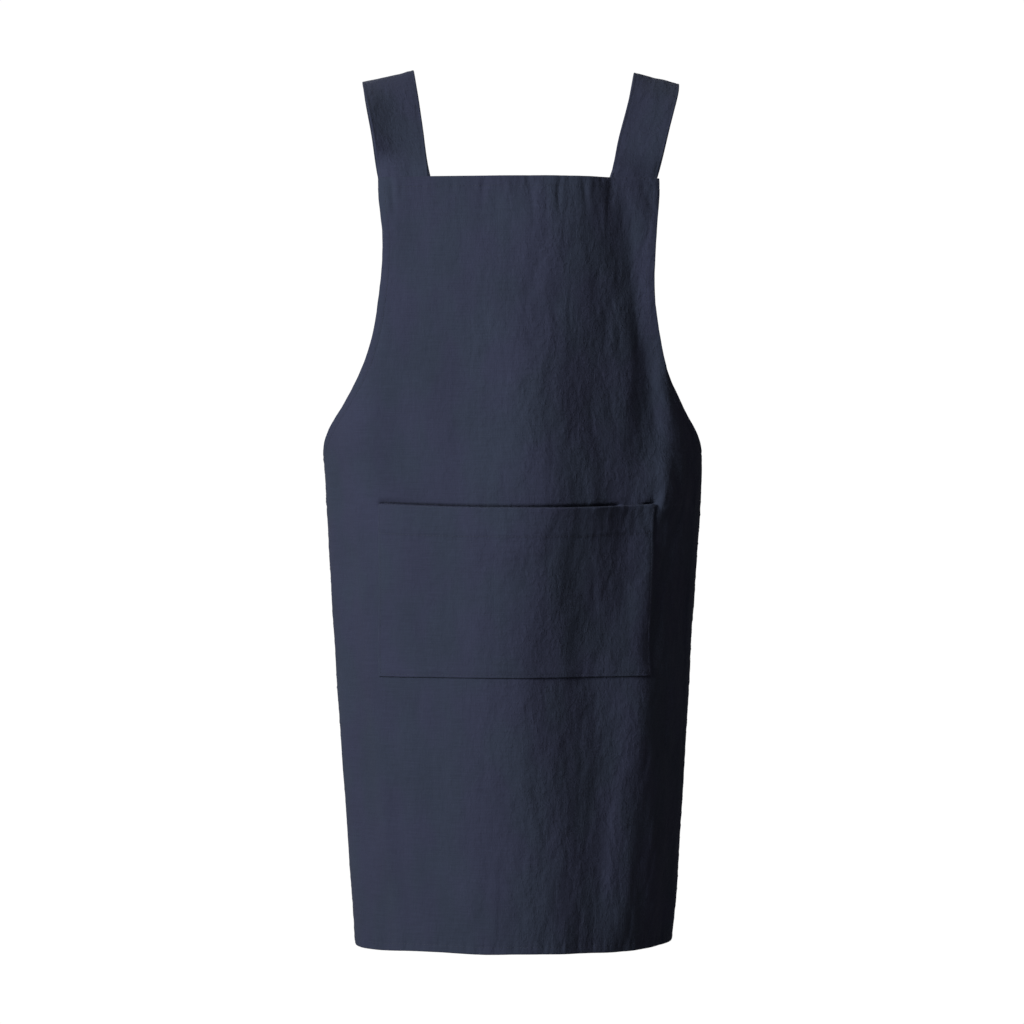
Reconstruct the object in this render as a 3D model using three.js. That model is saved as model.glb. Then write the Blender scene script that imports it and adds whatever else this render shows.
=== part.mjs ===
// A cross back apron in the form it has when it is worn, with nobody in it.
// Six sewn pieces: a front panel with its bib, a pocket, two back panels and two straps that cross behind.
// Millimetres. x runs to the wearer's left, -y is the front, z is up.
// The origin is the middle of the line on which the straps rest on the shoulders.
import * as THREE from "three";
import { mergeVertices } from "three/addons/utils/BufferGeometryUtils.js";

// Cloth
const clothWall = 1.6;
const strapWall = 2.2;
const sewnGap = 0.3; // between pieces that are sewn to each other
const strapGap = 0.6; // between a strap's end and the panel that it is sewn behind
const navyBlue = 0x373d4f;
const clothRoughness = 0.92;

// Heights below the shoulders
const bibDrop = 105;
const armholeDrop = 375;
const backCornerDrop = 394;
const pocketDrop = 427;
const pocketDepth = 165;
const hemDrop = 858;

// Widths, half of each side to side
const bibHalfWidth = 138;
const hipHalfWidth = 188;
const pocketHalfWidth = 139; // along the cloth
const backOpeningHalfWidth = 58;

// Depths from the line of the shoulders
const frontDepth = 118;
const backDepth = 104;

// Straps
const strapWidth = 50;
const strapOverlap = 36; // sewn behind the bib and behind the back panel
const seatedOverlaps = 1.3; // it lies against the panel for so many times that length
const freeOverlaps = 2.3; // and is free of it from here on
const rightShoulderOut = 126; // from the middle to the strap's centre line
const leftShoulderOut = 143;
const backAnchorOut = 104;
const crossingGap = 1.2; // between the two straps where they cross
const crossingReach = 130; // how far along it the upper strap stands clear

// Pocket mouth and folds
const mouthGape = 12;
const mouthRise = 1.5; // 1 opens evenly from the foot up, more keeps to the mouth
const mouthSpread = 4; // more opens it nearer to the sides
const foldWidth = 20;
const foldDepth = 6;
const foldStart = 0.3; // share of its run over which a fold grows
const foldEnd = 0.8; // share of its run at which it starts to fade

// How far each way the front's corners are rounded
const ridgeRound = 42; // down the middle, where the front is bent a little
const creaseRound = 16; // where it turns to the sides
const sideRound = 24; // before the side seams

// The form round the body: a front of two flat halves that meet in a soft ridge, a crease each side, and a
// round back.
// down: share of hemDrop. wide: share of hipHalfWidth. ridge, crease: how far out, as shares of that width.
// front, back: shares of the depths. corner: how deep the crease lies, as a share of the front.
const bodyRows = [
  { down: 0.05, wide: 0.84, ridge: 0, crease: 0.86, front: 0.68, corner: 0.72, back: 0.72 },
  { down: 0.122, wide: 0.86, ridge: 0, crease: 0.86, front: 0.87, corner: 0.74, back: 0.86 },
  { down: 0.235, wide: 0.88, ridge: -0.01, crease: 0.87, front: 0.98, corner: 0.67, back: 0.93 },
  { down: 0.35, wide: 0.935, ridge: -0.04, crease: 0.86, front: 0.97, corner: 0.61, back: 0.93 },
  { down: 0.437, wide: 1.0, ridge: -0.05, crease: 0.8, front: 0.96, corner: 0.6, back: 0.94 },
  { down: 0.49, wide: 0.996, ridge: -0.06, crease: 0.77, front: 0.97, corner: 0.61, back: 0.98 },
  { down: 0.56, wide: 0.976, ridge: -0.1, crease: 0.725, front: 1.0, corner: 0.62, back: 1.0 },
  { down: 0.68, wide: 0.938, ridge: -0.14, crease: 0.71, front: 1.0, corner: 0.63, back: 0.98 },
  { down: 0.84, wide: 0.89, ridge: -0.15, crease: 0.7, front: 0.98, corner: 0.65, back: 0.94 },
  { down: 1.0, wide: 0.843, ridge: -0.13, crease: 0.63, front: 0.96, corner: 0.7, back: 0.9 },
];
const backSquareness = 2.2; // 2 is an ellipse, more is nearer a box

// The bib's side edge down to the foot of the armhole.
// down: share of that height. out: 0 at bibHalfWidth, 1 at hipHalfWidth.
const armholeRows = [
  { down: 0, out: 0 },
  { down: 0.22, out: -0.085 },
  { down: 0.44, out: -0.045 },
  { down: 0.656, out: 0.2 },
  { down: 0.8, out: 0.51 },
  { down: 0.9, out: 0.83 },
  { down: 1, out: 1 },
];

// Ridges (deep > 0) and valleys (deep < 0) that run from a top to a foot, the wearer's left being positive.
// top, foot: where they are across the cloth, 1 being the side seam and 2 the middle of the back.
// from, to: how far down, as shares of hemDrop, past 1 for what runs off the hem.
// wide, deep: shares of foldWidth and foldDepth.
const foldRows = [
  { name: "left crease", top: 0.78, from: 0.32, foot: 0.52, to: 1.3, wide: 0.6, deep: 0.6 },
  { name: "right crease", top: -0.78, from: 0.32, foot: -0.52, to: 1.3, wide: 0.6, deep: 0.4 },
  { name: "left side hollow", top: 0.9, from: 0.4, foot: 0.8, to: 1.3, wide: 0.8, deep: -0.6 },
  { name: "bib valley", top: 0.5, from: 0.1, foot: 0.46, to: 0.5, wide: 0.9, deep: -0.8 },
  { name: "bib edge flare", top: 0.66, from: 0.12, foot: 0.62, to: 0.44, wide: 0.7, deep: 0.5 },
  { name: "skirt valley", top: 0.3, from: 0.68, foot: 0.27, to: 1.3, wide: 1.1, deep: -0.5 },
  { name: "skirt ridge", top: 0.12, from: 0.7, foot: 0.1, to: 1.3, wide: 0.9, deep: 0.4 },
  { name: "left back ridge", top: 1.28, from: 0.42, foot: 1.24, to: 1.3, wide: 1.3, deep: 1.0 },
  { name: "right back ridge", top: -1.26, from: 0.42, foot: -1.22, to: 1.3, wide: 1.3, deep: 1.0 },
];

// The straps' line up the chest. down: share of bibDrop. out: 0 over the bib's corner, 1 on the shoulder.
// deep: share of its depth at the bib's top edge. rightFace, leftFace: how far each strap faces sideways.
const chestRows = [
  { down: 1, out: 0, deep: 1, rightFace: 0.2, leftFace: 0.25 },
  { down: 0.68, out: 0.33, deep: 0.86, rightFace: 0.15, leftFace: 0.38 },
  { down: 0.36, out: 0.66, deep: 0.62, rightFace: 0.15, leftFace: 0.4 },
  { down: 0.12, out: 0.9, deep: 0.32, rightFace: 0.18, leftFace: 0.33 },
  { down: 0, out: 1, deep: 0, rightFace: 0.21, leftFace: 0.26 },
];

// The straps' line down the back to the other side. down: share of backCornerDrop. deep: share of backDepth.
// over: 0 on the shoulder, 1 at the far back panel's corner. face: as above, for both straps.
const backRows = [
  { down: 0.035, over: 0.006, deep: 0.34, face: 0.2 },
  { down: 0.11, over: 0.022, deep: 0.62, face: 0.14 },
  { down: 0.22, over: 0.057, deep: 0.8, face: 0.09 },
  { down: 0.33, over: 0.13, deep: 0.88, face: 0.04 },
  { down: 0.457, over: 0.265, deep: 0.92, face: 0.02 },
  { down: 0.635, over: 0.495, deep: 0.935, face: 0 },
  { down: 0.82, over: 0.76, deep: 0.92, face: -0.1 },
];

// How finely each piece is faceted
const pocketColumns = 16;
const sideColumns = 7; // from the pocket's side to the side seam
const hemRows = 9;
const pocketRows = 6;
const waistRows = 2;
const bibRows = 11;
const backPanelColumns = 11;
const backPanelRows = 18;
const strapSteps = 44;
const strapColumns = 5;
const sectionSteps = 120;
const nudge = 0.004; // share of a strap between the places that give the way it faces

const bibTop = -bibDrop;
const armholeFoot = -armholeDrop;
const pocketTop = -pocketDrop;
const pocketFoot = pocketTop - pocketDepth;
const hem = -hemDrop;

// A smooth curve through one column of a table.
function curveOf(rows, column, at = "down") {
  const curve = new THREE.CubicInterpolant(rows.map((row) => row[at]), rows.map((row) => row[column]), 1);
  return (value) => curve.evaluate(value)[0];
}

const wideAt = curveOf(bodyRows, "wide");
const ridgeAt = curveOf(bodyRows, "ridge");
const creaseAt = curveOf(bodyRows, "crease");
const frontAt = curveOf(bodyRows, "front");
const cornerAt = curveOf(bodyRows, "corner");
const backAt = curveOf(bodyRows, "back");
const armholeOutAt = curveOf(armholeRows, "out");

// A line through corners, each of them rounded over its own reach.
function roundedLine(corners) {
  const path = new THREE.Path();
  const towards = (from, to) => to.at.clone().sub(from.at).setLength(from.round).add(from.at);
  path.moveTo(corners[0].at.x, corners[0].at.y);
  for (let i = 1; i < corners.length - 1; i++) {
    const before = towards(corners[i], corners[i - 1]);
    const after = towards(corners[i], corners[i + 1]);
    path.lineTo(before.x, before.y);
    path.quadraticCurveTo(corners[i].at.x, corners[i].at.y, after.x, after.y);
  }
  path.lineTo(corners.at(-1).at.x, corners.at(-1).at.y);
  return path;
}

// The horizontal outline of the body at a height: the front from the right side seam to the left one, and the
// back from the left side seam to its middle.
function walkSection(z) {
  const down = -z / hemDrop;
  const halfWidth = hipHalfWidth * wideAt(down);
  const depth = frontDepth * frontAt(down);
  const corner = (x, y, round) => ({ at: new THREE.Vector2(x, y), round });
  const creaseOut = halfWidth * creaseAt(down);
  const creaseDepth = -depth * cornerAt(down);
  const front = roundedLine([
    corner(-halfWidth, 0, 0),
    corner(-halfWidth, -sideRound, sideRound / 2),
    corner(-creaseOut, creaseDepth, creaseRound),
    corner(halfWidth * ridgeAt(down), -depth, ridgeRound),
    corner(creaseOut, creaseDepth, creaseRound),
    corner(halfWidth, -sideRound, sideRound / 2),
    corner(halfWidth, 0, 0),
  ]);
  const back = new THREE.Path();
  back.moveTo(halfWidth, 0);
  for (let step = 1; step <= sectionSteps; step++) {
    const turn = (Math.PI / 2) * (step / sectionSteps);
    const x = halfWidth * Math.max(Math.cos(turn), 0) ** (2 / backSquareness);
    back.lineTo(x, backDepth * backAt(down) * Math.sin(turn) ** (2 / backSquareness));
  }
  return { side: front.getLength() / 2, front: evenPoints(front), back: evenPoints(back) };
}

function evenPoints(path) {
  const points = path.getSpacedPoints(2 * sectionSteps);
  return { points, pitch: path.getLength() / (2 * sectionSteps) };
}

const sections = new Map();
function sectionAt(z) {
  if (!sections.has(z)) sections.set(z, walkSection(z));
  return sections.get(z);
}

// The point of a section at a length of cloth from the front's middle, with the direction out of the body.
// Positive lengths go round the wearer's left.
function onSection(z, length) {
  const { side, front, back } = sectionAt(z);
  const behind = Math.abs(length) > side;
  const { points, pitch } = behind ? back : front;
  const place = (behind ? Math.abs(length) - side : length + side) / pitch;
  const from = THREE.MathUtils.clamp(Math.floor(place), 0, points.length - 2);
  const at = points[from].clone().lerp(points[from + 1], place - from);
  const before = points[Math.max(from - 1, 0)];
  const after = points[Math.min(from + 2, points.length - 1)];
  const along = after.clone().sub(before).normalize();
  const turn = behind && length < 0 ? -1 : 1;
  const out = new THREE.Vector3(turn * along.y, -along.x, 0);
  return { point: new THREE.Vector3(turn * at.x, at.y, z), out };
}

// The length of cloth from the front's middle to the place on the section with this x, in front or behind.
function lengthAtX(z, x, behind = false) {
  const { side, front, back } = sectionAt(z);
  const { points, pitch } = behind ? back : front;
  const target = behind ? Math.abs(x) : x;
  const past = behind ? (point) => point.x < target : (point) => point.x > target;
  let next = points.findIndex(past);
  if (next < 1) next = next < 0 ? points.length - 1 : 1;
  const [a, b] = [points[next - 1], points[next]];
  const share = THREE.MathUtils.clamp((target - a.x) / (b.x - a.x || 1), 0, 1);
  const walked = (next - 1 + share) * pitch;
  return behind ? Math.sign(x || 1) * (side + walked) : walked - side;
}

// How far the folds move the cloth outwards.
function foldAt(z, length) {
  const down = -z / hemDrop;
  const across = length / sectionAt(z).side;
  let out = 0;
  for (const fold of foldRows) {
    const run = (down - fold.from) / (fold.to - fold.from);
    if (run <= 0 || run >= 1) continue;
    const centre = THREE.MathUtils.lerp(fold.top, fold.foot, run);
    const away = ((across - centre) * sectionAt(z).side) / (fold.wide * foldWidth);
    const grown = THREE.MathUtils.smoothstep(run, 0, foldStart);
    const faded = THREE.MathUtils.smoothstep(run, foldEnd, 1);
    out += fold.deep * foldDepth * grown * (1 - faded) * Math.exp(-away * away);
  }
  return out;
}

// A place on the cloth of the panels, moved outwards from the middle of their wall.
function onCloth(z, length, outwards) {
  const { point, out } = onSection(z, length);
  return point.addScaledVector(out, foldAt(z, length) + outwards);
}

// A closed sheet: place(across, through, up) gives the point for shares of its width, thickness and height,
// with through 0 on its outer face and 1 on its inner one.
function sheetSolid(columns, rows, place) {
  const sheet = new THREE.BoxGeometry(1, 1, 1, columns, 1, rows);
  sheet.deleteAttribute("normal");
  sheet.deleteAttribute("uv");
  const corner = sheet.getAttribute("position");
  for (let i = 0; i < corner.count; i++) {
    const point = place(corner.getX(i) + 0.5, corner.getY(i) + 0.5, corner.getZ(i) + 0.5);
    corner.setXYZ(i, point.x, point.y, point.z);
  }
  const joined = mergeVertices(sheet, 1e-4);
  joined.computeVertexNormals();
  return joined;
}

// Values in a row, with a number of equal steps between each two stops.
function inSteps(stops, counts) {
  const values = [stops[0]];
  counts.forEach((count, k) => {
    for (let i = 1; i <= count; i++) values.push(THREE.MathUtils.lerp(stops[k], stops[k + 1], i / count));
  });
  return values;
}

// The front panel's rows and columns meet the pocket's, so that the two lie flat on each other.
const pocketShare = pocketHalfWidth / sectionAt(pocketTop - pocketDepth / 2).side;
const panelHeights = inSteps(
  [hem, pocketFoot, pocketTop, armholeFoot, bibTop],
  [hemRows, pocketRows, waistRows, bibRows],
);
const panelShares = inSteps([-1, -pocketShare, pocketShare, 1], [sideColumns, pocketColumns, sideColumns]);

// The length of the front panel's cloth from its middle to one edge: the side seam, or above it the armhole.
function frontReach(z, turn) {
  const { side } = sectionAt(z);
  if (z <= armholeFoot) return side - sewnGap / 2;
  const down = (bibTop - z) / (bibTop - armholeFoot);
  const x = bibHalfWidth + armholeOutAt(down) * (hipHalfWidth - bibHalfWidth);
  return Math.min(Math.abs(lengthAtX(z, turn * x)), side - sewnGap / 2);
}

// A place across the front panel as a share of its half, given as a length of cloth.
function acrossFront(z, share) {
  return share * frontReach(z, Math.sign(share) || 1);
}

function makeFrontPanel() {
  const columns = panelShares.length - 1;
  const rows = panelHeights.length - 1;
  return sheetSolid(columns, rows, (across, through, up) => {
    const z = panelHeights[Math.round(up * rows)];
    const length = acrossFront(z, panelShares[Math.round(across * columns)]);
    return onCloth(z, length, clothWall * (0.5 - through));
  });
}

// A patch sewn down at its sides and foot, whose mouth stands a little open.
function makePocket() {
  const heights = panelHeights.slice(hemRows, hemRows + pocketRows + 1);
  const shares = panelShares.slice(sideColumns, sideColumns + pocketColumns + 1);
  return sheetSolid(pocketColumns, pocketRows, (across, through, up) => {
    const z = heights[Math.round(up * pocketRows)];
    const length = acrossFront(z, shares[Math.round(across * pocketColumns)]);
    const fromMiddle = 2 * across - 1;
    const gape = mouthGape * up ** mouthRise * (1 - fromMiddle ** mouthSpread);
    return onCloth(z, length, clothWall + sewnGap + gape + clothWall * (0.5 - through));
  });
}

// From the side seam round to the open middle of the back. side is 1 on the wearer's left, -1 on the right.
function makeBackPanel(side) {
  return sheetSolid(backPanelColumns, backPanelRows, (across, through, up) => {
    const round = side > 0 ? across : 1 - across;
    const dip = THREE.MathUtils.smoothstep(round, 0, 1);
    const z = THREE.MathUtils.lerp(hem, THREE.MathUtils.lerp(armholeFoot, -backCornerDrop, dip), up);
    const seam = sectionAt(z).side + sewnGap / 2;
    const edge = lengthAtX(z, backOpeningHalfWidth, true);
    return onCloth(z, side * THREE.MathUtils.lerp(seam, edge, round), clothWall * (0.5 - through));
  });
}

// Where the middle of a strap's wall lies when it is sewn inside a panel.
function insidePanel(x, z, behind) {
  return onCloth(z, lengthAtX(z, x, behind), -(clothWall / 2 + strapGap + strapWall / 2));
}

// The centre line of a strap, with the way it faces: from inside the bib's corner, over the shoulder and
// across the back to inside the far back panel.
function strapLine(side, shoulderOut, chestFace) {
  const bibOut = bibHalfWidth - strapWidth / 2;
  const chestDepth = -insidePanel(side * bibOut, bibTop, false).y;
  const line = [];
  const add = (x, y, z, face) => line.push({ point: new THREE.Vector3(side * x, y, z), face: side * face });

  const chestLean = (shoulderOut - bibOut) / bibDrop;
  const tuckOut = bibOut - chestLean * strapOverlap;
  const tuckEnd = bibTop - strapOverlap;
  add(tuckOut, insidePanel(side * tuckOut, tuckEnd, false).y, tuckEnd, chestRows[0][chestFace]);
  for (const row of chestRows) {
    const z = THREE.MathUtils.lerp(strapWall / 2, bibTop, row.down);
    add(THREE.MathUtils.lerp(bibOut, shoulderOut, row.out), -chestDepth * row.deep, z, row[chestFace]);
  }
  for (const row of backRows) {
    const x = THREE.MathUtils.lerp(shoulderOut, -backAnchorOut, row.over);
    add(x, backDepth * row.deep, -row.down * backCornerDrop, row.face);
  }
  const last = backRows.at(-1);
  const backLean = ((1 - last.over) * (shoulderOut + backAnchorOut)) / ((1 - last.down) * backCornerDrop);
  for (const past of [0, strapOverlap]) {
    const x = -backAnchorOut - backLean * past;
    const z = -backCornerDrop - past;
    add(x, insidePanel(side * x, z, true).y, z, 2 * last.face);
  }
  return line;
}

function makeStrap(side, shoulderOut, chestFace, lift) {
  const line = strapLine(side, shoulderOut, chestFace);
  const path = new THREE.CatmullRomCurve3(line.map((stop) => stop.point), false, "centripetal");
  const faces = line.map((stop, i) => ({ at: i / (line.length - 1), face: stop.face }));
  const faceAt = curveOf(faces, "face", "at");
  const crossing = crossingShare(path);
  const length = path.getLength();
  const halfWall = strapWall / 2;

  // How much a place follows the panel that the strap is sewn behind: all of it there, and none further on.
  const seated = (share) => {
    const overlaps = (Math.min(share, 1 - share) * length) / strapOverlap;
    return 1 - THREE.MathUtils.smoothstep(overlaps, seatedOverlaps, freeOverlaps);
  };

  const middle = (across, along) => {
    const share = THREE.MathUtils.clamp(along, 0, 1);
    const t = path.getUtoTmapping(share);
    const centre = path.getPoint(t);
    const forward = path.getTangent(t);
    const face = new THREE.Vector3(faceAt(t), -forward.z, forward.y).normalize();
    const sideways = new THREE.Vector3().crossVectors(forward, face).normalize();
    face.crossVectors(sideways, forward);
    const fromCrossing = Math.abs(share - crossing) * length;
    const raised = lift * (1 - THREE.MathUtils.smoothstep(fromCrossing, crossingReach / 2, crossingReach));
    const flat = centre.addScaledVector(sideways, (across - 0.5) * strapWidth);
    flat.addScaledVector(face, raised);
    const weight = seated(share);
    return weight > 0 ? flat.lerp(insidePanel(flat.x, flat.z, share > 0.5), weight) : flat;
  };

  return sheetSolid(strapColumns, strapSteps, (across, through, along) => {
    const low = Math.max(along - nudge, 0);
    const high = Math.min(along + nudge, 1);
    const forward = middle(across, high).sub(middle(across, low));
    const sideways = middle(across + nudge, along).sub(middle(across - nudge, along));
    const out = sideways.cross(forward).normalize();
    return middle(across, along).addScaledVector(out, halfWall * (1 - 2 * through));
  });
}

// How far along a strap, as a share of its length, it passes the middle of the back.
function crossingShare(path) {
  let share = 0;
  const startSide = Math.sign(path.getPointAt(share).x);
  while (share < 1 && Math.sign(path.getPointAt(share).x) === startSide) share += nudge;
  return share;
}

const apron = new THREE.Group();
function addPiece(name, geometry) {
  const navyCloth = new THREE.MeshStandardMaterial({ color: navyBlue, roughness: clothRoughness });
  const piece = new THREE.Mesh(geometry, navyCloth);
  piece.name = name;
  apron.add(piece);
}

addPiece("front_panel", makeFrontPanel());
addPiece("pocket", makePocket());
addPiece("back_panel_left", makeBackPanel(1));
addPiece("back_panel_right", makeBackPanel(-1));
addPiece("strap_right", makeStrap(-1, rightShoulderOut, "rightFace", 0));
addPiece("strap_left", makeStrap(1, leftShoulderOut, "leftFace", strapWall + crossingGap));

export default apron;
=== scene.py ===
# A cross back apron in washed navy linen, in the form it has when it is worn, with nobody in it.
# Metres. x runs to the wearer's left, -y is the front, z is up, and the straps rest on the shoulders at z 0.
import math

import bpy
import numpy as np
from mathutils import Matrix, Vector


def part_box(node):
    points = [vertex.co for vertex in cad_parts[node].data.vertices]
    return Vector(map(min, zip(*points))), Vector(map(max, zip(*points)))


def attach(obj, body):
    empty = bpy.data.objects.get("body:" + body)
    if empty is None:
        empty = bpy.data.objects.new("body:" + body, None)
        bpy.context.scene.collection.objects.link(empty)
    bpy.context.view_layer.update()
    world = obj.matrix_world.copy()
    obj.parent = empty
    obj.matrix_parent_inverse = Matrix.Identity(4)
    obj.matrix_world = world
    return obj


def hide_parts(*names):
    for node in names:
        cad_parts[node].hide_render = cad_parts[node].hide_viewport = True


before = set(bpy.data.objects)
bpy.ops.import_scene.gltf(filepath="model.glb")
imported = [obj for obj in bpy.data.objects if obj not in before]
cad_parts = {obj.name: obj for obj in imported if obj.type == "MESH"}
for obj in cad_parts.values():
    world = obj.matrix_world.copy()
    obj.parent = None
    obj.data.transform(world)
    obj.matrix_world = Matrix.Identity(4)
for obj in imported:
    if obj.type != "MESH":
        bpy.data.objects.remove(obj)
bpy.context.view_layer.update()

MM = 0.001

# Small shares that keep a division from failing, an index inside its field and a place off an edge
TINY = 1e-12
INSIDE = 0.001
NEARLY = 1e-9

# Camera: one millimetre at the shoulders' depth is one pixel of a picture 1024 wide
VIEW_DISTANCE = 3.6
VIEW_WIDTH = 1.024
VIEW_TURN = math.radians(-3)
VIEW_HEIGHT = -0.431
VIEW_ASIDE = -0.001
VIEW_END = 50
SENSOR_MM = 36


def add_object(name, data):
    thing = bpy.data.objects.new(name, data)
    bpy.context.collection.objects.link(thing)
    return thing


def make_camera():
    data = bpy.data.cameras.new("camera")
    data.sensor_width = SENSOR_MM
    data.lens = SENSOR_MM * VIEW_DISTANCE / VIEW_WIDTH
    data.clip_end = VIEW_END
    camera = add_object("camera", data)
    x = VIEW_ASIDE + VIEW_DISTANCE * math.sin(VIEW_TURN)
    camera.location = (x, -VIEW_DISTANCE * math.cos(VIEW_TURN), VIEW_HEIGHT)
    camera.rotation_euler = (math.pi / 2, 0, VIEW_TURN)
    bpy.context.scene.camera = camera


make_camera()

# Sizes that the frame gives
front_low, front_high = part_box("front_panel")
pocket_low, pocket_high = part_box("pocket")
BIB_TOP = front_high.z
HEM = front_low.z
POCKET_TOP = pocket_high.z
POCKET_FOOT = pocket_low.z
ARMHOLE_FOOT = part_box("back_panel_left")[1].z
HEM_DROP = -HEM

# Sizes that follow the construction
HIP_HALF_WIDTH = 188 * MM
BIB_HALF_WIDTH = 138 * MM
POCKET_HALF_WIDTH = 141 * MM
POCKET_ASIDE = -2 * MM
BACK_OPENING_HALF_WIDTH = 58 * MM
BACK_CORNER_DROP = 394 * MM
FRONT_DEPTH = 118 * MM
BACK_DEPTH = 104 * MM
STRAP_WIDTH = 50 * MM
STRAP_OVERLAP = 36 * MM
SHOULDER_OUT = {"right": 125 * MM, "left": 144 * MM}
SHOULDER_TOP = 3.7 * MM
BACK_ANCHOR_OUT = 104 * MM
CROSSING_REACH = 130 * MM
CROSSING_GAP = 1.6 * MM
FOLD_WIDTH = 20 * MM
FOLD_DEPTH = 6 * MM
RIDGE_ROUND = 36 * MM
LEFT_CREASE_ROUND = 8 * MM
RIGHT_CREASE_ROUND = 24 * MM
SIDE_ROUND = 24 * MM
BACK_SQUARENESS = 2.2

# The straps as they hang. Two widths: along the strap, and at its foot on the bib.
STRAP_WIDTHS = {"right": (52.8 * MM, 49.6 * MM), "left": (47 * MM, 46.3 * MM)}
STRAP_FOOT_RUN = (40 * MM, 140 * MM)
FOOT_OUT = {"right": -1.0 * MM, "left": 2.4 * MM}
STRAP_DISH = {"right": 3.0 * MM, "left": 0.7 * MM}
DISH_LEAN = 0.3
DISH_DROP = 34 * MM
STRAP_SEAT = 2.1 * MM
STRAP_BOX = STRAP_OVERLAP - 6 * MM
SEAT_BLEND = (1.2, 2.0)

# Cloth
CLOTH = 1.0 * MM
STRAP_CLOTH = 2.0 * MM
SEAM_GAP = 0.3 * MM
EDGE_ROUND = 0.9 * MM
HEM_OUT = 0.25 * MM
HEM_IN = 1.1 * MM
POCKET_HEM_OUT = 0.7 * MM
MOUTH_GAPE = 10 * MM
MOUTH_SAG = 4 * MM
MOUTH_GROOVE = 5 * MM
MOUTH_SHADE = 1.7 * MM
BIB_RISE = 1.5 * MM
EDGE_BLEND = 60 * MM
WEAR_REACH = 1.6 * MM
WEAR_PATCHES = 0.25
WEAR_WAVES = (900, 700)

# Hems and rows of stitches, as distances from the edge
BIB_HEM = 10 * MM
ARMHOLE_HEM = 8 * MM
FOOT_HEM = 7 * MM
MOUTH_HEM = 28 * MM
BACK_HEM = 12 * MM
PATCH_HEM = 9 * MM
SIDE_STITCH = 6 * MM
PATCH_STITCH = 2.6 * MM
STRAP_STITCH = 3 * MM
SEAM_LAP = 8 * MM
SEAM_STITCH = SEAM_LAP + 3 * MM
SEAM_TUCK = 1.9 * MM
SEAM_RISE = 5 * MM
STITCH_PITCH = 3.2 * MM
STITCH_LENGTH = 2.5 * MM
THREAD = 0.42 * MM
THREAD_SIDES = 6
STITCH_SINK = 0.3 * MM
GROOVE_HALF = 0.9 * MM
HEM_STEP_IN = 0.5 * MM
HEM_STEP_OUT = 1.2 * MM
PUCKER_WAVES = (6.5, 9.5, 15)
WAVE_SPREAD = (0.85, 1.15)
WAVE_STARTS = (0, 7)
PUCKER_REACH = 5 * MM
STRAP_PUCKER = 0.12 * MM
STRAP_PUCKER_REACH = 4 * MM

# Flat size of the back panels, width by height
BACK_FLAT = (0.193, 0.483)

# Fineness: steps round the body and up it, and of the cloth's grids, up and across
SECTION_COUNT = 330
SECTION_MARGIN = 5 * MM
FRONT_STEPS = 481
BACK_STEPS = 241
X_STEPS = 401
SLOPE_STEP = 1.5
FRONT_PITCH = (4.2 * MM, 2.1 * MM)
POCKET_PITCH = (3.6 * MM, 2.1 * MM)
BACK_PITCH = (5 * MM, 2.6 * MM)
STRAP_PITCH = (3.4 * MM, 2.0 * MM)
PANEL_LINE_POINTS = 1200
POCKET_LINE_POINTS = 900
STRAP_LINE_POINTS = 1800
STRAP_PATH_POINTS = 1501
OUTLINE_POINTS = 700


def table(columns, *rows):
    """Rows of values under named columns."""
    return [dict(zip(columns.split(), row)) for row in rows]


# The form round the body. down: share of the drop to the hem. The others are shares as in the construction.
BODY_ROWS = table(
    "down wide ridge crease front corner back",
    (0.05, 0.84, 0, 0.86, 0.68, 0.72, 0.72),
    (0.122, 0.86, 0, 0.86, 0.87, 0.74, 0.86),
    (0.235, 0.88, -0.01, 0.87, 0.98, 0.67, 0.93),
    (0.35, 0.935, -0.04, 0.86, 0.97, 0.61, 0.93),
    (0.437, 1.0, -0.05, 0.8, 0.96, 0.6, 0.94),
    (0.49, 0.996, -0.06, 0.77, 0.97, 0.61, 0.98),
    (0.56, 0.976, -0.1, 0.725, 1.0, 0.62, 1.0),
    (0.68, 0.938, -0.14, 0.71, 1.0, 0.63, 0.98),
    (0.84, 0.89, -0.15, 0.7, 0.98, 0.65, 0.94),
    (1.0, 0.843, -0.13, 0.63, 0.96, 0.7, 0.9),
)

# How the worn cloth hangs against that form. drop: mm below the shoulders. aside: mm to the wearer's left.
# wider: mm at each side. crease: the crease on the wearer's left, as a share of the half width.
DRAPE_ROWS = table(
    "drop aside wider crease",
    (0, 1.8, 0, 0.86),
    (125, 2.2, 0, 0.86),
    (155, 2.4, 0, 0.86),
    (180, 1.5, 0.6, 0.86),
    (220, -0.3, 0.7, 0.86),
    (260, -0.3, 2.1, 0.86),
    (300, -1.0, 2.1, 0.84),
    (340, -2.0, 1.6, 0.825),
    (362, -1.2, 1.6, 0.81),
    (380, 0.2, -0.6, 0.80),
    (400, 0.9, -1.3, 0.80),
    (414, 1.0, -1.1, 0.80),
    (427, 1.1, -1.0, 0.79),
    (435, 1.1, -0.9, 0.75),
    (447, 1.1, -0.8, 0.728),
    (470, 1.0, -0.4, 0.705),
    (510, 0.9, 0, 0.69),
    (560, 0.9, 0.3, 0.673),
    (600, 1.2, 1.2, 0.70),
    (640, 1.7, 1.5, 0.705),
    (720, 2.1, 1.3, 0.655),
    (780, 2.0, 0.5, 0.665),
    (820, 2.2, 0.2, 0.64),
    (862, 1.3, -0.8, 0.58),
)

# The hem's line. share: across the front, -1 and 1 being the side seams. low: mm below the plain form.
HEM_ROWS = table(
    "share low",
    (-1.0, 0),
    (-0.9, 3.3),
    (-0.72, 4.4),
    (-0.57, 2.6),
    (-0.41, 2.0),
    (-0.16, 2.7),
    (0.0, 2.2),
    (0.33, 3.7),
    (0.5, 4.9),
    (0.7, 4.5),
    (0.86, 2.3),
    (1.0, -1.0),
)

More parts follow.
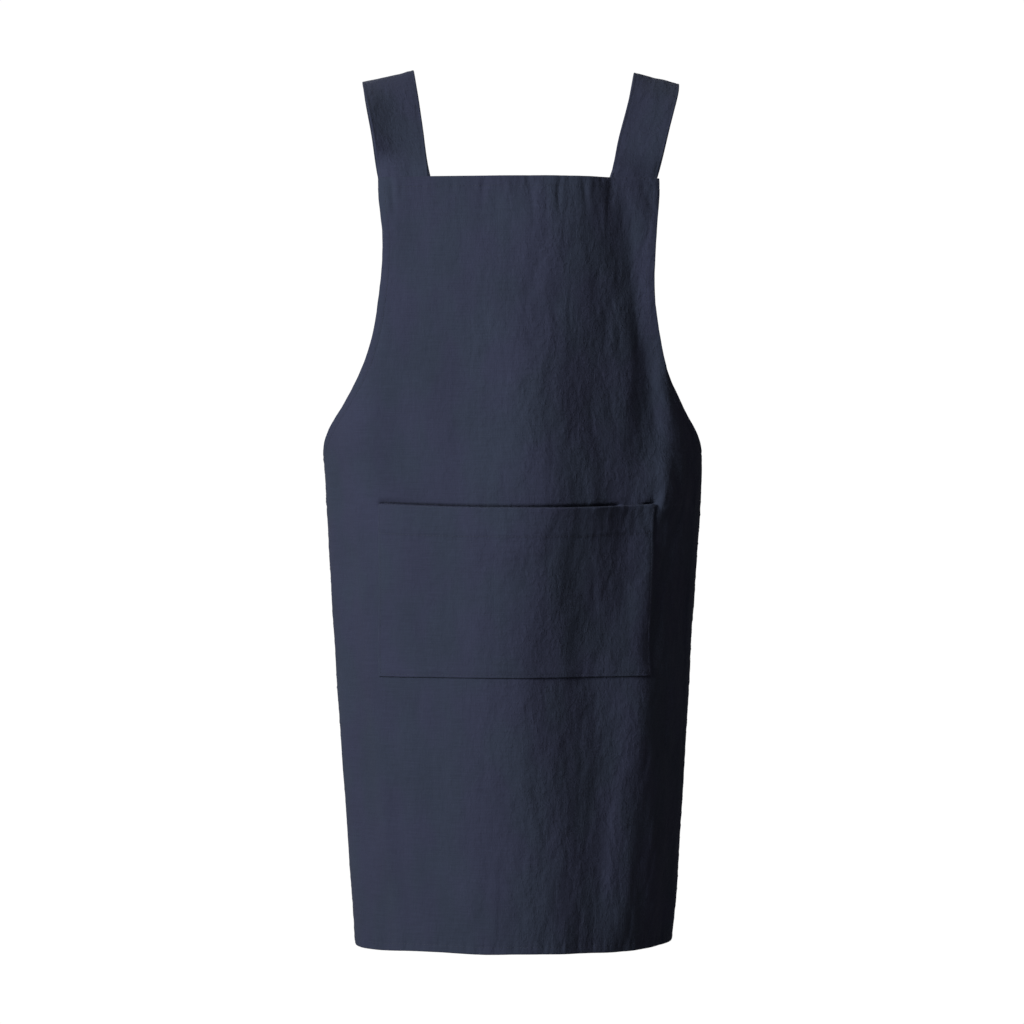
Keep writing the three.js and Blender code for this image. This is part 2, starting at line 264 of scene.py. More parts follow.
# The bib's side edge down to the foot of the armhole. out: 0 at the bib's half width, 1 at the hip's.
ARMHOLE_ROWS = table(
    "down out",
    (0, 0.005),
    (0.07, 0.0),
    (0.22, -0.075),
    (0.44, -0.04),
    (0.656, 0.205),
    (0.8, 0.535),
    (0.9, 0.86),
    (0.95, 0.97),
    (1, 1),
)

# Ridges and valleys down the cloth. top, foot: across, 1 being the side seam and 2 the middle of the back.
# start, end: how far down, past 1 for what runs off the hem. wide, deep: shares of the fold sizes.
FOLD_ROWS = table(
    "name top start foot end wide deep",
    ("right crease", -0.78, 0.32, -0.52, 1.3, 0.6, 0.4),
    ("left side hollow", 0.9, 0.4, 0.8, 1.3, 0.8, -0.6),
    ("bib valley", 0.33, 0.0, 0.68, 0.48, 0.75, -0.8),
    ("skirt valley", 0.39, 0.62, 0.52, 1.3, 1.1, -0.42),
    ("skirt ridge", 0.2, 0.7, 0.2, 1.3, 0.9, 0.3),
    ("left back ridge", 1.28, 0.42, 1.24, 1.3, 1.3, 1.0),
    ("right back ridge", -1.26, 0.42, -1.22, 1.3, 1.3, 1.0),
    ("bib's round", 0.33, -0.3, 0.16, 0.62, 2.2, 1.15),
    ("skirt's round", 0.04, 0.1, 0.25, 1.9, 2.0, 1.3),
    ("armhole hollow", 0.68, 0.27, 0.58, 0.47, 1.2, -0.8),
    ("waist hollow", 0.56, 0.34, 0.56, 0.56, 1.2, -0.45),
    ("crease's lip", 0.55, 0.62, 0.27, 1.5, 0.5, 0.3),
)
FOLD_GROWS = 0.3
FOLD_FADES = 0.8

# The straps' line up the chest. down: 1 at the bib's top, 0 on the shoulder. out: 0 at the foot's place,
# 1 at the shoulder's. deep: share of the chest's depth. face: how far the cloth faces outwards to the side.
CHEST_ROWS = table(
    "down right_out left_out deep right_face left_face",
    (1, 0, 0, 1, -0.08, 0.0),
    (0.68, 0.22, 0.25, 0.86, -0.06, -0.04),
    (0.36, 0.58, 0.605, 0.62, -0.05, -0.04),
    (0.12, 0.89, 0.88, 0.32, 0.08, 0.08),
    (0, 1, 1, 0, 0.25, 0.25),
)

# And down the back. down: 1 at the back panel's corner. over: share of the way across to the strap's seat.
BACK_ROWS = table(
    "down right_over left_over deep face",
    (0.035, 0.0165, 0.004, 0.34, 0.2),
    (0.11, 0.045, 0.022, 0.62, 0.14),
    (0.22, 0.077, 0.062, 0.8, 0.09),
    (0.33, 0.135, 0.13, 0.88, 0.04),
    (0.457, 0.265, 0.265, 0.92, 0.02),
    (0.635, 0.495, 0.495, 0.935, 0),
    (0.82, 0.76, 0.76, 0.92, -0.1),
)

# Small dents and puckers. along: cloth from the front's middle, drop: below the shoulders, mm.
# half, tall: half sizes, mm. deep: mm, outwards where above 0. lean: mm that it moves sideways per mm down.
DENT_ROWS = table(
    "name along drop half tall deep lean",
    ("right strap's foot", -129, 118, 3.2, 20, -1.8, 0.1),
    ("left strap's foot", 130, 130, 3.5, 9, -1.6, 0.5),
    ("bib pucker", -38, 119, 3, 13, -0.7, -0.1),
    ("bib pucker", 8, 118, 3, 16, -1.3, 0.1),
    ("bib pucker", 35, 119, 3, 17, -1.5, -0.05),
    ("bib pucker", 61, 121, 3.5, 18, -1.4, 0.12),
    ("bib pucker", 88, 120, 3, 14, -1.0, -0.1),
    ("pocket corner fold", 147, 417, 3, 9, 2.2, -0.15),
    ("pocket corner hollow", 139, 421, 3.2, 7, -2.2, 0.6),
    ("pocket end pucker", 108, 432, 2.5, 12, -1.0, -0.2),
    ("pocket end pucker", 117, 434, 2.5, 14, -1.1, 0.15),
    ("pocket end pucker", 126, 430, 2.5, 11, -0.9, 0.25),
)


# Lines and fields

def smoothstep(value, low, high):
    share = np.clip((value - low) / (high - low), 0, 1)
    return share * share * (3 - 2 * share)


def unit(vectors):
    return vectors / (np.linalg.norm(vectors, axis=-1, keepdims=True) + TINY)


def curve(rows, column, at="down"):
    """A smooth function through one column of a table."""
    t = np.array([row[at] for row in rows], float)
    v = np.array([row[column] for row in rows], float)
    slope = np.diff(v) / np.diff(t)
    tangent = np.concatenate([slope[:1], (slope[1:] + slope[:-1]) / 2, slope[-1:]])

    def value(x):
        x = np.clip(x, t[0], t[-1])
        i = np.clip(np.searchsorted(t, x, side="right") - 1, 0, len(t) - 2)
        width = t[i + 1] - t[i]
        p = (x - t[i]) / width
        low = v[i] * (1 + 2 * p) * (1 - p) ** 2 + tangent[i] * width * p * (1 - p) ** 2
        high = v[i + 1] * p * p * (3 - 2 * p) + tangent[i + 1] * width * p * p * (p - 1)
        return low + high

    return value


wide_at, ridge_at, crease_at, front_at, corner_at, back_at = (
    curve(BODY_ROWS, column) for column in ("wide", "ridge", "crease", "front", "corner", "back")
)
aside_at, wider_at, left_crease_at = (
    curve(DRAPE_ROWS, column, "drop") for column in ("aside", "wider", "crease")
)
armhole_out_at = curve(ARMHOLE_ROWS, "out")
hem_low_at = curve(HEM_ROWS, "low", "share")


def rounded_line(corners, reaches, steps=24):
    """Points along a line through corners, each rounded over its own reach."""
    corners = np.array(corners, float)
    points = [corners[0]]
    for i in range(1, len(corners) - 1):
        before = corners[i - 1] - corners[i]
        after = corners[i + 1] - corners[i]
        start = corners[i] + before * reaches[i] / np.linalg.norm(before)
        end = corners[i] + after * reaches[i] / np.linalg.norm(after)
        for p in np.linspace(0, 1, steps):
            points.append((1 - p) ** 2 * start + 2 * p * (1 - p) * corners[i] + p * p * end)
    points.append(corners[-1])
    return np.array(points)


def lengths(points):
    """The length along a line up to each of its points."""
    return np.concatenate([[0], np.cumsum(np.linalg.norm(np.diff(points, axis=0), axis=1))])


def at_lengths(places, walked, points):
    """Points, or other values, at these lengths along a line."""
    return np.stack([np.interp(places, walked, points[:, k]) for k in range(points.shape[1])], 1)


def evenly(points, count):
    """The same line in equal steps, and its length."""
    walked = lengths(points)
    return at_lengths(np.linspace(0, walked[-1], count), walked, points), walked[-1]


def sample(field, row, column):
    """Values between the entries of a field, for fractional rows and columns."""
    row = np.clip(row, 0, field.shape[0] - 1 - INSIDE)
    column = np.clip(column, 0, field.shape[1] - 1 - INSIDE)
    r, c = row.astype(int), column.astype(int)
    fr, fc = row - r, column - c
    if field.ndim == 3:
        fr, fc = fr[..., None], fc[..., None]
    top = field[r, c] * (1 - fc) + field[r, c + 1] * fc
    low = field[r + 1, c] * (1 - fc) + field[r + 1, c + 1] * fc
    return top * (1 - fr) + low * fr


# The body's sections, one for each of many heights

SECTION_HEIGHTS = np.linspace(HEM - SECTION_MARGIN, SECTION_MARGIN, SECTION_COUNT)


def half_width(z):
    return HIP_HALF_WIDTH * wide_at(-z / HEM_DROP) + MM * wider_at(-z / MM)


def section(z):
    down = -z / HEM_DROP
    half = float(half_width(z))
    depth = FRONT_DEPTH * float(front_at(down))
    corner = -depth * float(corner_at(down))
    front = rounded_line(
        [
            (-half, 0),
            (-half, -SIDE_ROUND),
            (-half * float(crease_at(down)), corner),
            (half * float(ridge_at(down)), -depth),
            (half * float(left_crease_at(-z / MM)), corner),
            (half, -SIDE_ROUND),
            (half, 0),
        ],
        [0, SIDE_ROUND / 2, RIGHT_CREASE_ROUND, RIDGE_ROUND, LEFT_CREASE_ROUND, SIDE_ROUND / 2, 0],
    )
    turn = np.linspace(0, math.pi / 2, BACK_STEPS)
    power = 2 / BACK_SQUARENESS
    back_x = half * np.clip(np.cos(turn), 0, 1) ** power
    back_y = BACK_DEPTH * float(back_at(down)) * np.clip(np.sin(turn), 0, 1) ** power
    return evenly(front, FRONT_STEPS), evenly(np.stack([back_x, back_y], 1), BACK_STEPS)


sections = [section(height) for height in SECTION_HEIGHTS]
front_sections = np.array([front[0] for front, back in sections])
back_sections = np.array([back[0] for front, back in sections])
side_lengths = np.array([front[1] / 2 for front, back in sections])
back_lengths = np.array([back[1] for front, back in sections])


def section_row(z):
    return np.interp(z, SECTION_HEIGHTS, np.arange(SECTION_COUNT))


def side_at(z):
    """The cloth's length from the front's middle to the side seam."""
    return np.interp(z, SECTION_HEIGHTS, side_lengths)


def back_at_height(z):
    """The cloth's length from the side seam to the middle of the back."""
    return np.interp(z, SECTION_HEIGHTS, back_lengths)


def on_section(s, z):
    """The point (x, y) of the body and the way out of it, at cloth length s from the front's middle."""
    s, z = np.broadcast_arrays(np.asarray(s, float), np.asarray(z, float))
    row = section_row(z)
    side = side_at(z)
    behind = np.abs(s) > side
    front_column = (s + side) / (2 * side) * (FRONT_STEPS - 1)
    back_column = (np.abs(s) - side) / back_at_height(z) * (BACK_STEPS - 1)

    def shifted(step):
        front = sample(front_sections, row, front_column + step)
        return np.where(behind[..., None], sample(back_sections, row, back_column + step), front)

    point = shifted(0)
    along = unit(shifted(SLOPE_STEP) - shifted(-SLOPE_STEP))
    turn = np.where(behind & (s < 0), -1.0, 1.0)
    point[..., 0] *= turn
    return point, np.stack([turn * along[..., 1], -along[..., 0]], -1)


def by_x(lines):
    """For each section, the share of its line at evenly spaced x."""
    even, shares = np.linspace(0, 1, X_STEPS), np.linspace(0, 1, lines.shape[1])
    return np.array([np.interp(x[0] + even * (x[-1] - x[0]), x, shares) for x in lines[:, :, 0]])


FRONT_BY_X = by_x(front_sections)
BACK_BY_X = by_x(back_sections[:, ::-1])


def length_at_x(x, z, behind):
    """The cloth length at which the section has this x, in front or behind."""
    x, z = np.broadcast_arrays(np.asarray(x, float), np.asarray(z, float))
    row, half, side = section_row(z), half_width(z), side_at(z)
    if not behind:
        share = sample(FRONT_BY_X, row, (x / half + 1) / 2 * (X_STEPS - 1))
        return (2 * share - 1) * side
    share = 1 - sample(BACK_BY_X, row, np.abs(x) / half * (X_STEPS - 1))
    return np.where(x < 0, -1.0, 1.0) * (side + share * back_at_height(z))


def folds(s, z):
    """How far the large folds move the cloth outwards."""
    down = -z / HEM_DROP
    side = side_at(z)
    out = np.zeros(np.broadcast(s, z).shape)
    for fold in FOLD_ROWS:
        run = (down - fold["start"]) / (fold["end"] - fold["start"])
        centre = fold["top"] + (fold["foot"] - fold["top"]) * run
        away = (s / side - centre) * side / (fold["wide"] * FOLD_WIDTH)
        grown = smoothstep(run, 0, FOLD_GROWS) * (1 - smoothstep(run, FOLD_FADES, 1))
        out += fold["deep"] * FOLD_DEPTH * grown * np.exp(-away * away)
    return out


def dents(s, z):
    """How far the small dents and puckers move the cloth outwards."""
    out = np.zeros(np.broadcast(s, z).shape)
    for dent in DENT_ROWS:
        below = -z / MM - dent["drop"]
        aside = s / MM - dent["along"] - dent["lean"] * below
        out += dent["deep"] * MM * np.exp(-((aside / dent["half"]) ** 2) - (below / dent["tall"]) ** 2)
    return out


# Crinkles of washed linen: noise that is drawn out down the cloth. across, along and high are in mm.

FIELD_PITCH = 1.0 * MM
FIELD_HALF_WIDTH = 0.49
FIELD_TOP = 10 * MM
FIELD_SHAPE = (900, 980)
FINE_CRINKLES = table("across along high seed", (3.6, 10, 0.22, 3), (6.5, 20, 0.38, 5))
BROAD_CRINKLES = table("across along high seed", (12, 70, 0.6, 8), (28, 150, 0.9, 13))
CREASE = dict(across=5, along=12, high=0.5, sharp=0.3, seed=21)
PATCHES = dict(across=26, along=45, seed=34)
PATCH_RANGE = (-1.3, 0.9)
PATCH_SHARE = 0.65
RUMPLED_SIDE = (-0.08, 0.035)
BEHIND = 0.2
BEHIND_SHARE = 0.55
CALM = 0.37


def drawn_noise(across, along, seed):
    noise = np.random.default_rng(seed).standard_normal(FIELD_SHAPE)
    spectrum = np.fft.rfft2(noise)
    down = np.fft.fftfreq(FIELD_SHAPE[0], FIELD_PITCH)[:, None]
    over = np.fft.rfftfreq(FIELD_SHAPE[1], FIELD_PITCH)[None, :]
    spectrum *= np.exp(-2 * math.pi**2 * ((along * MM * down) ** 2 + (across * MM * over) ** 2))
    field = np.fft.irfft2(spectrum, s=FIELD_SHAPE)
    return field / field.std()


def crinkle_field():
    """Rumpled on the wearer's left half, in patches, and calm on the other."""

    def crinkles(rows):
        return sum(row["high"] * MM * drawn_noise(row["across"], row["along"], row["seed"]) for row in rows)

    fine, broad = crinkles(FINE_CRINKLES), crinkles(BROAD_CRINKLES)
    lines = drawn_noise(CREASE["across"], CREASE["along"], CREASE["seed"])
    creases = -CREASE["high"] * MM * np.exp(-((lines / CREASE["sharp"]) ** 2))
    patches = smoothstep(drawn_noise(**PATCHES), *PATCH_RANGE)
    patches = 1 - PATCH_SHARE + PATCH_SHARE * patches
    s = np.arange(FIELD_SHAPE[1]) * FIELD_PITCH - FIELD_HALF_WIDTH
    rumpled = CALM + (1 - CALM) * smoothstep(s, *RUMPLED_SIDE)[None, :] * patches
    rumpled = np.where(np.abs(s)[None, :] > BEHIND, BEHIND_SHARE, rumpled)
    return rumpled * (fine + creases) + (1 - PATCH_SHARE + PATCH_SHARE * rumpled) * broad


CRINKLE_FIELD = crinkle_field()


def crinkle(s, z):
    row = (FIELD_TOP - np.asarray(z, float)) / FIELD_PITCH
    column = (np.asarray(s, float) + FIELD_HALF_WIDTH) / FIELD_PITCH
    return sample(CRINKLE_FIELD, *np.broadcast_arrays(row, column))


def on_cloth(s, z, outwards=0.0):
    """A place in the middle of the panels' cloth, moved outwards."""
    point, out = on_section(s, z)
    moved = folds(s, z) + outwards + crinkle(s, z) + dents(s, z)
    point = point + out * moved[..., None]
    point[..., 0] += MM * aside_at(-z / MM)
    return np.concatenate([point, np.broadcast_to(z, moved.shape)[..., None]], -1)


# Washed linen: a plain weave with slubs, its dye a little uneven, with painted shade along its crease lines
# and in the weave's hollows, and threads of the same colour with painted shade in the grooves of their twist

class Nodes:
    """Short calls for a material's or a world's nodes. Inputs are numbers, colours or nodes' outputs."""

    def __init__(self, owner):
        owner.use_nodes = True
        self.owner = owner
        self.tree = owner.node_tree
        self.tree.nodes.clear()

    def add(self, kind, inputs=None, **settings):
        node = self.tree.nodes.new(kind)
        for key, value in settings.items():
            setattr(node, key, value)
        for key, value in (inputs or {}).items():
            if isinstance(value, bpy.types.NodeSocket):
                self.tree.links.new(value, node.inputs[key])
            else:
                node.inputs[key].default_value = value
        return node

    def math(self, operation, *values, clamp=False):
        inputs = dict(enumerate(values))
        return self.add("ShaderNodeMath", inputs, operation=operation, use_clamp=clamp).outputs[0]

    def total(self, start, *parts):
        for part in parts:
            start = self.math("ADD", start, part)
        return start

    def smooth(self, value, low, high):
        """0 below low, 1 above high, and a smooth step between."""
        inputs = {"Value": value, "From Min": low, "From Max": high}
        return self.add("ShaderNodeMapRange", inputs, interpolation_type="SMOOTHSTEP").outputs["Result"]

    def mix(self, share, low, high, **settings):
        inputs = {"Factor": share, "A": low, "B": high}
        return self.add("ShaderNodeMix", inputs, data_type="RGBA", **settings).outputs["Result"]

    def cloth_place(self):
        """The places across and down the cloth, in metres."""
        uv = self.add("ShaderNodeUVMap", uv_map="cloth")
        split = self.add("ShaderNodeSeparateXYZ", {0: uv.outputs[0]})
        return split.outputs[0], split.outputs[1]

    def noise(self, u, v, across, down, detail, rough):
        """Noise with features of these sizes in millimetres, across and down the cloth."""
        place = {0: self.math("DIVIDE", u, across * MM), 1: self.math("DIVIDE", v, down * MM)}
        vector = self.add("ShaderNodeCombineXYZ", place).outputs[0]
        inputs = {"Vector": vector, "Scale": 1.0, "Detail": detail, "Roughness": rough}
        return self.add("ShaderNodeTexNoise", inputs, noise_dimensions="2D").outputs["Fac"]

    def finish(self, shading, height=None):
        """Ends a material with a shader, and bumps as high as given in metres."""
        if height is not None:
            bump = self.add("ShaderNodeBump", {"Strength": 1.0, "Distance": 1.0, "Height": height})
            shading = {**shading, "Normal": bump.outputs[0]}
        shader = self.add("ShaderNodeBsdfPrincipled", shading)
        self.add("ShaderNodeOutputMaterial", {"Surface": shader.outputs[0]})
        return self.owner


NAVY = (0.0385, 0.0468, 0.0835)
PALE_YARN = 1.28
DARK_YARN = 0.74
GREENER = (0.965, 1.025, 0.97, 1)
REDDER = (1.025, 0.98, 1.02, 1)
HUE_ASIDE = 3.7
YARN_PITCH = 0.75 * MM
YARN_TURN = 2 * math.pi / YARN_PITCH
WEAVE_DEPTH = 0.05 * MM
SLUB_DEPTH = 0.12 * MM
BEND_REACH = 5 * MM
LINE_SHARPNESS = 9.0
# How deep the crease lines are grooved, as a share of the crinkle depth, and how much darker their colour is
# painted, as painted shade
CREASE_LINE_DEPTH_AND_SHADE = 0.15
BROAD_SHARE = 1.6
RUMPLED_MASK = (-0.1, 0.04)
PATCH_NOISE = (0.36, 0.6)
HUE_NOISE = (0.35, 0.65)
ROUGHNESS = 0.84
SLUB_ROUGHNESS = 0.12

# Noises of the cloth's look, with the sizes of their features in mm
LOOK_NOISES = table(
    "name across down detail rough",
    ("wander", 6, 6, 2, 0.5),
    ("slub_down", 1.1, 14, 3, 0.6),
    ("slub_over", 24, 1.1, 3, 0.6),
    ("patches", 40, 60, 2, 0.5),
    ("bend", 14, 22, 1, 0.5),
    ("rumples", 4.2, 6, 4, 0.62),
    ("broad", 9, 18, 2, 0.5),
    ("clouds", 60, 90, 3, 0.5),
    ("hues", 45, 80, 2, 0.5),
)
TONE_SHARES = dict(slub_down=0.45, slub_over=0.55, clouds=0.5)
# How much lighter the weave's raised crossings and darker its hollows are painted: painted shade of its
# relief
WEAVE_PAINTED_SHADE = 0.1
WORN_TONE = 0.2


def linen(name, crinkle_depth):
    n = Nodes(bpy.data.materials.new(name))
    u, v = n.cloth_place()

    def noise(name, across=u):
        row = next(row for row in LOOK_NOISES if row["name"] == name)
        return n.noise(across, v, row["across"], row["down"], row["detail"], row["rough"])

    # Yarns over and under each other, a little out of true
    wander = n.math("MULTIPLY", noise("wander"), YARN_PITCH)
    warp, weft = (n.math("SINE", n.math("MULTIPLY", n.math("ADD", at, wander), YARN_TURN)) for at in (u, v))
    weave = n.math("MULTIPLY", warp, weft)

    # Rumples in patches, more on the wearer's left half, with fine lines along their creases, grooved into
    # the bump and painted darker as painted shade
    patches = n.smooth(noise("patches"), *PATCH_NOISE)
    patches = n.math("MULTIPLY_ADD", patches, PATCH_SHARE, 1 - PATCH_SHARE)
    rumpled = n.math("MULTIPLY", n.smooth(u, *RUMPLED_MASK), patches)
    rumpled = n.math("MULTIPLY_ADD", rumpled, 1 - CALM, CALM)
    bent = n.math("ADD", u, n.math("MULTIPLY_ADD", noise("bend"), BEND_REACH, -BEND_REACH / 2))
    rumples = noise("rumples", bent)
    lines = n.math("MULTIPLY", n.math("ABSOLUTE", n.math("SUBTRACT", rumples, 0.5)), LINE_SHARPNESS)
    lines = n.math("SUBTRACT", 1.0, lines, clamp=True)

    # Slubs along the yarns, broad clouds of the dye, and a paler tone where the cloth is rubbed, with painted
    # shade: darker along the rumples' crease lines and in the weave's hollows
    looks = {part: noise(part) for part in TONE_SHARES}
    tones = [n.math("MULTIPLY_ADD", looks[part], share, -share / 2) for part, share in TONE_SHARES.items()]
    # Painted shade of the weave: lighter where its bump is raised, darker in its hollows
    tone = n.total(*tones, n.math("MULTIPLY", weave, WEAVE_PAINTED_SHADE))
    # Painted shade: the colour is darker along the crease lines, more where the cloth is rumpled
    tone = n.math("SUBTRACT", tone, n.math("MULTIPLY", n.math("MULTIPLY", lines, rumpled), CREASE_LINE_DEPTH_AND_SHADE))
    worn = n.add("ShaderNodeAttribute", attribute_name="worn").outputs["Fac"]
    tone = n.math("ADD", tone, n.math("MULTIPLY", worn, WORN_TONE))
    hues = noise("hues", n.math("ADD", u, HUE_ASIDE))
    hue = n.mix(n.smooth(hues, *HUE_NOISE), GREENER, REDDER)
    dark, pale = ((*(c * yarn for c in NAVY), 1) for yarn in (DARK_YARN, PALE_YARN))
    # The colour between the darkest and palest yarns, with the painted shade of the crease lines and of the
    # weave in it
    dye_and_painted_shade = n.mix(n.math("ADD", tone, 0.5, clamp=True), dark, pale)

    crumple = n.math("MULTIPLY", noise("broad", bent), BROAD_SHARE * crinkle_depth)
    crumple = n.math("ADD", n.math("MULTIPLY", rumples, crinkle_depth), crumple)
    crumple = n.math("SUBTRACT", crumple, n.math("MULTIPLY", lines, CREASE_LINE_DEPTH_AND_SHADE * crinkle_depth))
    slubs = [n.math("MULTIPLY", looks[part], SLUB_DEPTH) for part in ("slub_down", "slub_over")]
    height = n.total(n.math("MULTIPLY", weave, WEAVE_DEPTH), *slubs, n.math("MULTIPLY", crumple, rumpled))
    shading = {
        "Base Color": n.mix(1.0, dye_and_painted_shade, hue, blend_type="MULTIPLY"),
        "Roughness": n.math("MULTIPLY_ADD", looks["slub_down"], SLUB_ROUGHNESS, ROUGHNESS),
        "Specular IOR Level": 0.2,
        "Sheen Weight": 0.12,
        "Sheen Roughness": 0.5,
        "Sheen Tint": (0.62, 0.7, 0.9, 1),
    }
    return n.finish(shading, height)


# The thread's colour with painted shade in the grooves of its twist and painted highlight on its crests
THREAD_SHADED = (0.034, 0.042, 0.069, 1)
THREAD_LIT = (0.056, 0.067, 0.104, 1)
THREAD_TWIST = 9000
PLY_DEPTH = 0.03 * MM


def sewing_thread():
    """Two plies twisted together, a little paler than the cloth, and painted lighter on the plies' crests and
    darker in the grooves between them as painted shade. Its u is the share round the thread.
    """
    n = Nodes(bpy.data.materials.new("navy_thread"))
    around, along = n.cloth_place()
    turns = n.math("ADD", n.math("MULTIPLY", around, 2 * math.pi), n.math("MULTIPLY", along, THREAD_TWIST))
    twist = n.math("SINE", turns)
    # Painted shade and painted highlight along the twist, following its bump
    colour = n.mix(n.math("MULTIPLY_ADD", twist, 0.5, 0.5), THREAD_SHADED, THREAD_LIT)
    shading = {"Base Color": colour, "Roughness": 0.6, "Specular IOR Level": 0.35}
    return n.finish(shading, n.math("MULTIPLY", twist, PLY_DEPTH))


LINEN = linen("navy_linen", 0.88 * MM)
STRAP_LINEN = linen("navy_linen_strap", 0.8 * MM)
NAVY_THREAD = sewing_thread()


# Cloth as closed meshes

EDGE_STOPS = np.array([0, 0.25, 0.9, 2.0]) * MM
DETAIL_STOP = 0.9 * MM
CLEAR_SHARE = 0.45
PLACE_DIGITS = 7


def stops(length, pitch, details, extra=()):
    """Places from 0 to length in even steps, with finer ones at the edges and at each detail."""
    fine = np.concatenate([[detail - DETAIL_STOP, detail, detail + DETAIL_STOP] for detail in details])
    even = np.linspace(0, length, max(2, round(length / pitch)) + 1)
    places = np.concatenate([EDGE_STOPS, length - EDGE_STOPS, fine, extra])
    clear = np.array([np.abs(places - place).min() > pitch * CLEAR_SHARE for place in even])
    return np.unique(np.round(np.concatenate([places, even[clear]]), PLACE_DIGITS))


def side_to_side(half, pitch, detail):
    """Stops across a piece, as shares of its half width, with a detail near both sides."""
    return (stops(2 * half, pitch, [detail, 2 * half - detail]) - half) / half


def rounded_edge(distance):
    """Share of the full thickness at a distance from the cloth's edge."""
    inwards = np.clip(distance / EDGE_ROUND, 0, 1)
    return np.sqrt(np.clip(1 - (1 - inwards) ** 2, 0, 1))


def make_object(name, vertices, faces, material, uv):
    mesh = bpy.data.meshes.new(name)
    mesh.from_pydata(vertices.tolist(), [], faces.tolist())
    mesh.polygons.foreach_set("use_smooth", np.ones(len(mesh.polygons), bool))
    layer = mesh.uv_layers.new(name="cloth")
    index = np.empty(len(mesh.loops), int)
    mesh.loops.foreach_get("vertex_index", index)
    layer.data.foreach_set("uv", uv[index].ravel())
    mesh.materials.append(material)
    mesh.validate()
    piece = add_object(name, mesh)
    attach(piece, "root")
    return piece


def closed_sheet(name, middle, outer_wall, inner_wall, uv, worn, material):
    """A sheet of cloth whose two faces meet at its edges."""
    out = unit(np.cross(np.gradient(middle, axis=1), np.gradient(middle, axis=0)))
    outer = middle + out * outer_wall[..., None]
    inner = middle - out * inner_wall[..., None]
    rows, columns = middle.shape[:2]
    outer_index = np.arange(rows * columns).reshape(rows, columns)
    inner_index = outer_index.copy()
    inside = (rows - 2) * (columns - 2)
    inner_index[1:-1, 1:-1] = rows * columns + np.arange(inside).reshape(rows - 2, columns - 2)

    def both_faces(on_outer, on_inner):
        width = on_outer.shape[-1]
        return np.concatenate([on_outer.reshape(-1, width), on_inner[1:-1, 1:-1].reshape(-1, width)])

    def quads(index):
        corners = [index[:-1, :-1], index[:-1, 1:], index[1:, 1:], index[1:, :-1]]
        return np.stack([corner.ravel() for corner in corners], 1)

    faces = np.concatenate([quads(outer_index), quads(inner_index)[:, ::-1]])
    piece = make_object(name, both_faces(outer, inner), faces, material, both_faces(uv, uv))
    paler = both_faces(worn[..., None], worn[..., None]).ravel()
    piece.data.attributes.new("worn", "FLOAT", "POINT").data.foreach_set("value", paler)
    return piece, dict(outer=outer, inner=inner, out=out)


def hem(distance, width):
    """1 in the turned edge, and 0 past its row of stitches."""
    return 1 - smoothstep(distance, width - HEM_STEP_IN, width + HEM_STEP_OUT)


def stitch_groove(distance, place):
    return np.exp(-(((distance - place) / GROOVE_HALF) ** 2))


def pucker(along, seed):
    """Uneven ripples along a sewn edge."""
    rng = np.random.default_rng(seed)
    out = np.zeros(np.shape(along))
    for wave in PUCKER_WAVES:
        turns = along / MM / (wave * rng.uniform(*WAVE_SPREAD))
        out = out + np.sin(2 * math.pi * turns + rng.uniform(*WAVE_STARTS))
    return out / len(PUCKER_WAVES)


def sewn_edge(distance, along, width, seed, high=0.45):
    """How far a hem and the puckers at its stitches move the cloth. high: mm."""
    ripples = pucker(along, seed) * np.exp(-(((distance - width) / PUCKER_REACH) ** 2))
    return high * MM * ripples - STITCH_SINK * stitch_groove(distance, width)


def wear(distance, s, z):
    """Paler where an edge has been washed and rubbed."""
    patches = np.sin(s * WEAR_WAVES[0]) * np.sin(z * WEAR_WAVES[1])
    return np.exp(-distance / WEAR_REACH) * (1 - WEAR_PATCHES + WEAR_PATCHES * patches)


def make_panel(name, replaced, middle, edge, doubled, s, z, pale):
    """A panel with turned hems, most of whose thickness is on the inside."""
    outer_wall = (CLOTH / 2 + HEM_OUT * doubled) * edge
    inner_wall = (CLOTH / 2 + HEM_IN * doubled) * edge
    piece, faces = closed_sheet(name, middle, outer_wall, inner_wall, np.stack([s, z], -1), pale, LINEN)
    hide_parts(replaced)
    return piece, faces


# Stitches. Each is six rings of six points along its length, in shares of that and of the thread's radius.

STITCH_RUNS = np.array([-0.5, -0.4, -0.16, 0.16, 0.4, 0.5])
STITCH_SIZES = np.array([0.35, 0.85, 1.0, 1.0, 0.85, 0.35])
STITCH_RISES = np.array([-0.9, -0.1, 0.35, 0.35, -0.1, -0.9])


